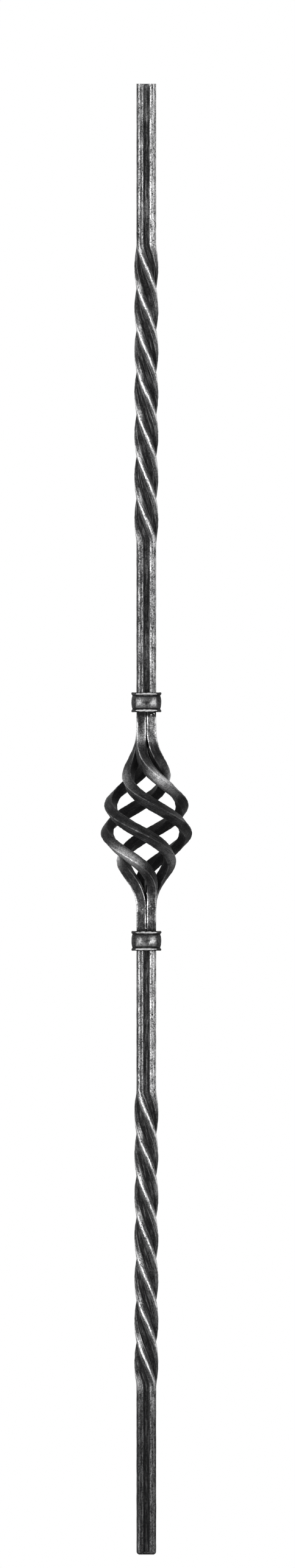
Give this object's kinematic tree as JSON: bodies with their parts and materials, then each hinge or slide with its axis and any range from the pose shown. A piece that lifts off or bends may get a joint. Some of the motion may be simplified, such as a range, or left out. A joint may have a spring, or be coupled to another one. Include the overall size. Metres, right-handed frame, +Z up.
{
  "type": "stair baluster",
  "caption": "Slim iron stair baluster of grooved square bar, twisted above and below a central basket of spiralled square rods, with a moulded collar at each end of the basket",
  "frame": {"origin": "centre of the flat bottom end of the lower bar", "axes": "+Z up along the bar, -Y towards the viewer of the picture, +X to the viewer's right"},
  "size_m": [0.0564, 0.0564, 0.9],
  "materials": {
    "forged_iron": "near-black iron patina, brushed silver on the raised edges, speckled on the flats and dark in the grooves",
    "collar_iron": "same iron patina, brushed lighter on the domed band and the edge beads"
  },
  "bodies": {
    "root": {"lower_bar": "forged_iron", "upper_bar": "forged_iron", "basket_rod_1": "forged_iron", "basket_rod_2": "forged_iron", "basket_rod_3": "forged_iron", "basket_rod_4": "forged_iron", "lower_collar": "collar_iron", "upper_collar": "collar_iron"}
  },
  "joints": []
}
